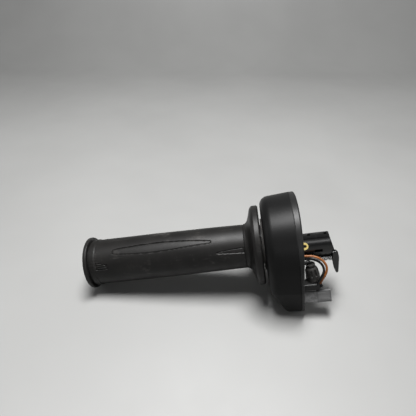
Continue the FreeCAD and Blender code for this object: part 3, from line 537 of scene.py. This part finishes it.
# ---------------------------------------------------------------- studio
@dataclass
class Studio:
    """The camera, the pale floor that the grip lies on, and soft light."""

    camera_place: Point3 = (-25.7, -229.9, 195.9)
    camera_right: Point3 = (0.9855, 0.0296, -0.1669)
    camera_up: Point3 = (0.12, 0.5733, 0.8105)
    lens: float = 34.615
    floor_lean: float = 9.61
    floor_place: Point3 = (-157.0, 0.0, -19.8)
    floor_half: float = 1500.0
    wall_distance: float = 560.0
    floor_colour: Colour = (0.262, 0.262, 0.257)

    def make_camera(self) -> None:
        """Makes the camera and gives it to the scene."""
        data = bpy.data.cameras.new("camera")
        data.lens = self.lens
        data.sensor_width = 36.0
        data.clip_start = 0.01
        camera = bpy.data.objects.new("camera", data)
        right, up = Vector(self.camera_right), Vector(self.camera_up)
        back = right.cross(up).normalized()
        up = back.cross(right).normalized()
        turn = Matrix((right.normalized(), up, back)).transposed().to_4x4()
        camera.matrix_world = Matrix.Translation(Vector(self.camera_place) * MM) @ turn
        bpy.context.scene.collection.objects.link(camera)
        bpy.context.scene.camera = camera
        LOG.info("made the camera")

    def floor_frame(self) -> Matrix:
        """The floor's own axes, which lean with the way the grip rests on its ring and its nose."""
        lean = Matrix.Rotation(math.radians(self.floor_lean), 4, "Y")
        return Matrix.Translation(Vector(self.floor_place) * MM) @ lean

    def make_floor(self) -> None:
        """Makes the floor, which rises behind in a wide curve."""
        half, wall = self.floor_half, self.wall_distance
        profile = [(-half, 0.0), (wall, 0.0)]
        profile += [(wall + 260 * math.sin(t), 260 * (1 - math.cos(t))) for t in np.linspace(0.05, 1.45, 24)]
        profile.append((profile[-1][0] + 60.0, 1400.0))
        points = np.array([(x, y, z) for y, z in profile for x in (-half, half)], float) * MM
        faces = [(2 * n, 2 * n + 1, 2 * n + 3, 2 * n + 2) for n in range(len(profile) - 1)]
        floor = mesh_piece("floor", points, faces, 60.0)
        floor.matrix_world = self.floor_frame()
        surface = Surface("floor_paint")
        cloud = surface.noise(180.0, 3.0)
        tone = surface.blend(cloud.step(0.3, 0.7), self.floor_colour, tuple(0.93 * c for c in self.floor_colour))
        marks = surface.noise(16.0, 5.0, 0.7, surface.stretched((0.6, 1.4, 1.0))).step(0.70, 0.80)
        tone = surface.blend(marks * 0.35, tone, tuple(0.6 * c for c in self.floor_colour))
        surface.set("Base Color", tone)
        surface.set("Roughness", surface.noise(40.0) * 0.2 + 0.42)
        surface.relief(surface.noise(1.2) * (0.01 * MM))
        floor.data.materials.append(surface.material)

    def make_light(self, name: str, place: Point3, aim: Point3, size: Point2, power: float) -> None:
        """Makes one soft rectangular light.

        Args:
            name: its name.
            place: where it is, in millimetres over the floor.
            aim: the point that it faces.
            size: its width and height.
            power: its power in watts.
        """
        data = bpy.data.lights.new(name, "AREA")
        data.shape = "RECTANGLE"
        data.size, data.size_y = size[0] * MM, size[1] * MM
        data.energy = power
        light = bpy.data.objects.new(name, data)
        way = Vector(place) - Vector(aim)
        light.matrix_world = (
            self.floor_frame() @ Matrix.Translation(Vector(place) * MM) @ way.to_track_quat("Z", "Y").to_matrix().to_4x4()
        )
        bpy.context.scene.collection.objects.link(light)

    def make_lights(self) -> None:
        """Makes the overhead light, a long lamp in front, a weak one at each end and an even surround."""
        self.make_light("overhead", (60.0, 20.0, 760.0), (90.0, 0.0, 0.0), (380.0, 210.0), 13.4)
        self.make_light("front", (240.0, -860.0, 400.0), (170.0, 0.0, 20.0), (560.0, 130.0), 1.1)
        self.make_light("right", (980.0, 120.0, 420.0), (150.0, 0.0, 30.0), (420.0, 320.0), 1.5)
        self.make_light("left", (-900.0, 120.0, 380.0), (0.0, 0.0, 20.0), (420.0, 320.0), 1.2)
        world = bpy.data.worlds.new("surround")
        world.use_nodes = True
        background = next(n for n in world.node_tree.nodes if n.type == "BACKGROUND")
        background.inputs["Color"].default_value = (0.95, 0.97, 1.0, 1.0)
        background.inputs["Strength"].default_value = 0.11
        bpy.context.scene.world = world
        bpy.context.scene.view_settings.view_transform = "Standard"

    def build(self) -> None:
        """Makes everything that isn't part of the grip."""
        self.make_camera()
        self.make_floor()
        self.make_lights()


# ---------------------------------------------------------------- wires, boot and plug
@dataclass
class Wiring:
    """The two heater wires and the sensor lead's boot."""

    rack: FinishRack
    wire_radius: float = 0.85
    brown_route: tuple[Point3, ...] = (
        (1.9, -16.2, -1.7), (7.0, -16.6, -1.3), (12.2, -18.2, -2.0), (16.2, -20.4, -4.4),
        (17.9, -22.8, -8.2), (16.8, -24.6, -12.4), (14.2, -25.4, -16.0), (12.4, -25.6, -20.6),
    )
    black_route: tuple[Point3, ...] = (
        (1.9, -16.4, -4.4), (6.6, -16.7, -3.9), (11.4, -18.3, -4.5), (14.8, -20.6, -6.5),
        (15.9, -23.3, -9.7), (14.3, -25.4, -12.9), (11.6, -26.4, -16.2), (10.1, -26.7, -20.6),
    )
    brown_length: float = 34.3
    black_length: float = 31.5
    boot_top: Point3 = (7.0, -18.2, -7.2)
    boot_foot: Point3 = (8.6, -20.8, -20.0)
    slot_count: int = 9
    slot_half: float = 0.55
    slot_depth: float = 1.0

    def make_wire(self, name: str, route: Sequence[Point3], finish: Finish) -> None:
        """Args:
            name: the piece's name, and its node's name with "_run" taken off.
            route: its control points in millimetres.
            finish: its insulation.
        """
        data = bpy.data.curves.new(name, "CURVE")
        data.dimensions = "3D"
        data.bevel_depth = self.wire_radius * MM
        data.bevel_resolution = 8
        data.resolution_u = 24
        data.use_fill_caps = True
        spline = data.splines.new("NURBS")
        spline.points.add(len(route) - 1)
        for point, place in zip(spline.points, metres(route)):
            point.co = (*place, 1.0)
        spline.order_u = 3
        spline.use_endpoint_u = True
        wire = bpy.data.objects.new(name, data)
        bpy.context.scene.collection.objects.link(wire)
        self.rack.dress(wire, finish)
        node = name.removesuffix("_run")
        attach(wire, "housing")
        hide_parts(node)

    def make_boot(self) -> None:
        """Makes the bell-shaped strain relief, with slots through its flanks and a collar on top."""
        top, foot = Vector(self.boot_top), Vector(self.boot_foot)
        along = (foot - top).normalized()
        length = (foot - top).length
        side = along.cross(Vector((0, -1, 0))).normalized()
        front = along.cross(side)
        corners = [
            (0.0, 1.2, 0.1), (0.0, 3.2, 0.3), (1.4, 3.25, 0.3), (1.7, 2.6, 0.15), (2.2, 2.9, 0.3), (3.4, 4.0, 0.6),
            (5.4, 4.6, 1.0), (8.2, 4.85, 1.2), (length, 5.15, 0.3), (length, 1.0, 0.1), (length - 1.0, 1.0, 0.1),
            (0.8, 1.2, 0.1),
        ]
        flat = np.array(refined(softened(corners, 4), 0.22), float)
        around = 360
        angle = np.arange(around) * (2 * math.pi / around)
        run = np.repeat(flat[:, :1], around, axis=1)
        radius = np.repeat(flat[:, 1:], around, axis=1)
        turn = np.repeat(angle[None, :], len(flat), axis=0)
        pitch = 2 * math.pi / self.slot_count
        off = np.abs((turn + pitch / 2) % pitch - pitch / 2) * radius
        across = 1 - smooth_step(off, self.slot_half - 0.15, self.slot_half + 0.15)
        down = smooth_step(run, 3.8, 4.3) * (1 - smooth_step(run, length - 4.4, length - 3.9))
        radius = radius - self.slot_depth * across * down * (radius > 3.0)
        ribs = 0.07 * np.sin(run * 2 * math.pi / 1.1) * (1 - across) * smooth_step(run, 4.5, 5.5)
        radius = radius + ribs * (radius > 3.6) * (1 - smooth_step(run, length - 2.5, length - 1.5))
        centre = np.array(top) + run[..., None] * np.array(along)
        points = centre + radius[..., None] * (
            np.cos(turn)[..., None] * np.array(side) + np.sin(turn)[..., None] * np.array(front)
        )
        boot = mesh_piece("boot_bell", points.reshape(-1, 3) * MM, grid_faces(len(flat), around, True))
        self.rack.dress(boot, BOOT_RUBBER)
        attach(boot, "housing")
        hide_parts("cable_boot")

    def build(self) -> None:
        """Makes the wires, then the boot."""
        self.make_wire("brown_wire_run", self.brown_route, BROWN_INSULATION)
        self.make_wire("black_wire_run", self.black_route, BLACK_INSULATION)
        self.make_boot()


# ---------------------------------------------------------------- rubber sleeve
@dataclass
class RubberSleeve:
    """The moulded sleeve with its sunk panels and its flange, and the ring at its outer end."""

    rack: FinishRack
    start: float = -154.6
    inside: float = 13.5
    ring_start: float = -157.4
    ring_radius: float = 19.5
    ring_inside: float = 11.7
    barrel_radius: float = 17.0
    neck_radius: float = 16.1
    taper_start: float = -95.0
    collar: float = -37.2
    flange_radius: float = 29.3
    flange_end: float = -25.1
    disc_radius: float = 26.05
    disc_start: float = -27.65
    around: int = 400
    repeats: int = 3
    panel_depth: float = 0.38
    line_depth: float = 0.26

    def outline(self) -> list[Point2]:
        """The sleeve's section as (x, radius) points."""
        neck, rim, end = self.neck_radius, self.flange_radius, self.flange_end
        corners = [
            (self.start, self.inside, 0.1), (self.start, 16.4, 0.1), (self.start + 0.9, 16.4, 0.1),
            (self.start + 0.9, 17.45, 0.5), (self.start + 5.0, 17.45, 0.5), (self.start + 5.3, self.barrel_radius, 0.3),
            (self.taper_start, self.barrel_radius, 14.0), (self.collar - 0.5, neck, 0.1),
            (self.collar - 0.25, neck - 0.28, 0.1), (self.collar, neck + 0.3, 0.2), (-35.7, neck + 0.6, 0.7),
            (-34.2, neck + 2.2, 0.9), (-32.9, 22.0, 1.5), (-31.6, 27.0, 0.7), (-30.5, rim - 0.75, 0.5),
            (-29.4, rim, 0.4), (end - 1.0, rim, 0.6), (end - 0.1, rim - 0.9, 0.4), (end, rim - 2.2, 0.5),
            (end, self.disc_radius, 0.1),
            (self.disc_start, self.disc_radius, 0.1), (self.disc_start, self.inside, 0.1),
        ]
        return refined(softened(corners, 6), 0.42)

    def sunk(self, x: np.ndarray, angle: np.ndarray, first: float, last: float, edges: Callable) -> np.ndarray:
        """How far a panel sinks the surface.

        Args:
            x: the place along the grip.
            angle: the angle, folded into one repeat.
            first: the panel's outer end.
            last: its inner end.
            edges: gives the panel's upper and lower angle at a share of its length.

        Returns:
            The depth in millimetres, deepest in a line just inside the panel's edge.
        """
        share = np.clip((x - first) / (last - first), 0.0, 1.0)
        upper, lower = edges(share)
        scale = math.radians(1.0) * self.barrel_radius
        inward = np.minimum((angle - upper) * scale, (lower - angle) * scale)
        inward = np.minimum(inward, np.minimum(x - first, last - x))
        floor = self.panel_depth * smooth_step(inward, -0.1, 0.45)
        line = self.line_depth * smooth_step(inward, -0.1, 0.35) * (1 - smooth_step(inward, 0.45, 1.0))
        return floor + line

    @staticmethod
    def lens_edges(share: np.ndarray) -> tuple[np.ndarray, np.ndarray]:
        """The long panel: blunt at its outer end, widest before its middle, rounded at its inner end."""
        width = np.interp(share, np.linspace(0, 1, 11), (14.0, 19.4, 23.2, 26.0, 27.4, 27.0, 24.8, 21.6, 17.8, 13.6, 9.0))
        ends = (1 - np.abs(2 * share - 1) ** 26) ** (1 / 8)
        middle = np.interp(share, (0.0, 0.9, 1.0), (28.6, 29.5, 29.0))
        drop = np.interp(share, (0.0, 0.2, 0.4, 0.6, 0.8, 1.0), (36.0, 40.5, 42.5, 40.5, 36.5, 34.0))
        lower = middle + (drop - middle) * ends
        return lower - width * ends, lower

    @staticmethod
    def wedge_edges(share: np.ndarray) -> tuple[np.ndarray, np.ndarray]:
        """The short panel, which widens from a narrow end to the collar."""
        ends = np.clip(share / 0.1, 0.0, 1.0) ** 0.5
        upper = np.interp(share, (0.0, 0.45, 1.0), (57.5, 54.0, 52.0))
        lower = np.interp(share, (0.0, 0.45, 1.0), (63.5, 65.8, 68.0))
        middle = 0.5 * (upper + lower)
        return middle + (upper - middle) * ends, middle + (lower - middle) * ends

    def swell(self, x: np.ndarray, radius: np.ndarray, angle: np.ndarray) -> np.ndarray:
        """What the panels, the three short ribs and the hand-worn shape add to the radius.

        Args:
            x: the place along the grip.
            radius: the radius before the change.
            angle: the angle in degrees.

        Returns:
            The change of radius in millimetres.
        """
        repeat = 360.0 / self.repeats
        folded = (angle + 35.0) % repeat - 35.0
        outside = (radius > self.neck_radius - 0.6) & (x > self.start + 5.4) & (x < self.collar - 0.4)
        change = -self.sunk(x, folded, -135.6, -61.2, self.lens_edges)
        change -= self.sunk(x, folded, -58.2, self.collar - 0.6, self.wedge_edges)
        change -= 1.1 * self.sunk(x, folded, -148.6, -139.6, lambda share: (52.0 + 6.0 * share, 71.5 + 0.0 * share))
        for place, last in ((57.0, -142.6), (62.2, -141.4), (67.4, -140.6)):
            across = np.abs(folded - place) * math.radians(1.0) * self.barrel_radius
            rib = (1 - smooth_step(across, 0.25, 0.6)) * smooth_step(x, -147.8, -147.2) * (1 - smooth_step(x, last - 0.6, last))
            change += 0.42 * rib
        turn = np.radians(angle)
        wander = 0.05 * np.sin(0.061 * x + 2.0 * turn) + 0.035 * np.sin(0.13 * x - 3.0 * turn + 1.0)
        return np.where(outside, change + wander * smooth_step(x, -149.0, -140.0) * (1 - smooth_step(x, -48.0, -38.0)), 0.0)

    def make_ring(self) -> None:
        """Makes the end ring, with a shallow step in its outer face."""
        first, last, rim, bore = self.ring_start, self.start, self.ring_radius, self.ring_inside
        corners = [
            (first + 0.5, bore, 0.2), (first + 0.5, 15.6, 0.15), (first, 16.1, 0.3), (first, rim, 0.85), (last, rim, 0.85),
            (last, 16.9, 0.2), (last, bore, 0.1),
        ]
        ring = turned("end_ring_trim", refined(softened(corners, 8), 1.2), 200)
        self.rack.dress(ring, RING_RUBBER)
        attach(ring, "throttle")
        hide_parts("end_ring")

    def build(self) -> None:
        """Makes the sleeve and its end ring."""
        sleeve = turned("grip_sleeve", self.outline(), self.around, self.swell)
        self.rack.dress(sleeve, SLEEVE_RUBBER)
        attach(sleeve, "throttle")
        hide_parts("grip_rubber", "grip_flange")
        self.make_ring()


# ---------------------------------------------------------------- signal connector
@dataclass
class SignalConnector:
    """The open half of the sensor's connector: a ridged shell round a deep mouth."""

    rack: FinishRack
    centre: Point2 = (-26.1, -31.7)
    lean: float = 35.3
    seam: float = 9.5
    end: float = 19.3
    half_width: float = 4.5
    half_depth: float = 3.9
    wall: float = 0.8
    mouth: float = 7.0
    ridge_pitch: float = 0.78
    ridge_height: float = 0.16
    side_points: int = 44

    def section(self, inset: float, ridges: float) -> list[Point2]:
        """The shell's section, in its own broad and deep directions.

        Args:
            inset: how far it is moved inwards.
            ridges: how much of the ridges' height it has.

        Returns:
            Points round a rounded rectangle, always the same number.
        """
        wide, deep, corner = self.half_width - inset, self.half_depth - inset, 0.7
        outline: list[Point2] = []
        for turn in range(4):
            half, out = (wide, deep) if turn % 2 == 0 else (deep, wide)
            for step in range(self.side_points):
                along = -half + corner + (2 * half - 2 * corner) * step / (self.side_points - 1)
                wave = 0.5 + 0.5 * math.cos(2 * math.pi * along / self.ridge_pitch)
                keep = 1.0 if abs(along) < half - 1.0 else 0.0
                lift = ridges * self.ridge_height * (wave * keep - 1.0)
                x, y = along, -(out + lift)
                for _ in range(turn):
                    x, y = -y, x
                outline.append((x, y))
        return outline

    def make_shell(self) -> None:
        """Makes the shell as rings of points along the connector."""
        rings = [
            (self.seam, 0.25, 0.0), (self.seam + 0.25, 0.02, 0.0), (self.seam + 0.9, 0.0, 0.0), (self.seam + 1.0, 0.0, 1.0),
            (self.end - 1.1, 0.0, 1.0), (self.end - 1.0, 0.0, 0.0), (self.end - 0.25, 0.0, 0.0), (self.end, 0.25, 0.0),
            (self.end, self.wall, 0.0), (self.end - self.mouth, self.wall, 0.0),
        ]
        lean = math.radians(self.lean)
        broad = np.array((0.0, -math.sin(lean), -math.cos(lean)))
        deep = np.array((0.0, -math.cos(lean), math.sin(lean)))
        points = []
        for x, inset, ridges in rings:
            for along, out in self.section(inset, ridges):
                points.append(np.array((x, *self.centre)) + broad * along + deep * out)
        count = 4 * self.side_points
        faces: list[Sequence[int]] = list(grid_faces(len(rings), count, False))
        faces.append(tuple(range(count)))
        faces.append(tuple(range((len(rings) - 1) * count, len(rings) * count)))
        shell = mesh_piece("signal_shell", np.array(points) * MM, faces, 28.0)
        self.rack.dress(shell, CONNECTOR_SHELL)
        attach(shell, "housing")
        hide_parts("signal_plug")

    def build(self) -> None:
        """Makes the connector's open half."""
        self.make_shell()


# ---------------------------------------------------------------- nodes of the frame
@dataclass
class FrameParts:
    """The machine-made parts whose shape is right as it is: each gets its finish."""

    rack: FinishRack
    nodes: dict[str, bpy.types.Object]
    finishes: dict[str, Finish] = field(
        default_factory=lambda: {
            "throttle_tube": TUBE_PLASTIC, "tube_disc": TUBE_PLASTIC, "heater_foil": HEATER_FILM,
            "grip_rubber": SLEEVE_RUBBER, "grip_flange": SLEEVE_RUBBER, "end_ring": RING_RUBBER,
            "drive_gear": GEAR_PLASTIC, "sensor_gear": GEAR_PLASTIC, "sensor_magnet": MAGNET_NICKEL,
            "housing_shell": HOUSING_PLASTIC, "back_cover": COVER_PLASTIC, "cover_gasket": SEAL_RUBBER,
            "cover_screws": SCREW_STEEL, "tube_bush": BUSH_PLASTIC, "dust_washer": FELT, "sensor_axle": PIN_STEEL,
            "sensor_board": BOARD_LAMINATE, "board_screws": SCREW_STEEL, "hall_sensors": CHIP_EPOXY,
            "return_spring": SPRING_STEEL, "heater_flex": FLEX_FILM, "bar_saddle": SADDLE_PLASTIC,
            "sleeve_screws": SCREW_STEEL, "clamp_insert": INSERT_BRASS, "clamp_screw": BLACK_STEEL,
            "wire_grommet": SEAL_RUBBER, "brown_wire": BROWN_INSULATION, "black_wire": BLACK_INSULATION,
            "sensor_lead": BLACK_INSULATION, "cable_boot": BOOT_RUBBER, "heater_plug": PLUG_PLASTIC,
            "signal_socket": CONNECTOR_GREY, "signal_plug": CONNECTOR_SHELL, "terminal_pins": TERMINAL_METAL,
        }
    )

    def build(self) -> None:
        """Dresses every node of the frame."""
        for name, thing in self.nodes.items():
            self.rack.dress(thing, self.finishes[name])


def main() -> None:
    """Builds the scene round the frame."""
    logging.basicConfig(level=logging.INFO, format="%(name)s: %(message)s")
    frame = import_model()
    rack = FinishRack()
    Studio().build()
    Wiring(rack).build()
    RubberSleeve(rack).build()
    SignalConnector(rack).build()
    FrameParts(rack, frame["nodes"]).build()


if __name__ == "__main__":
    main()
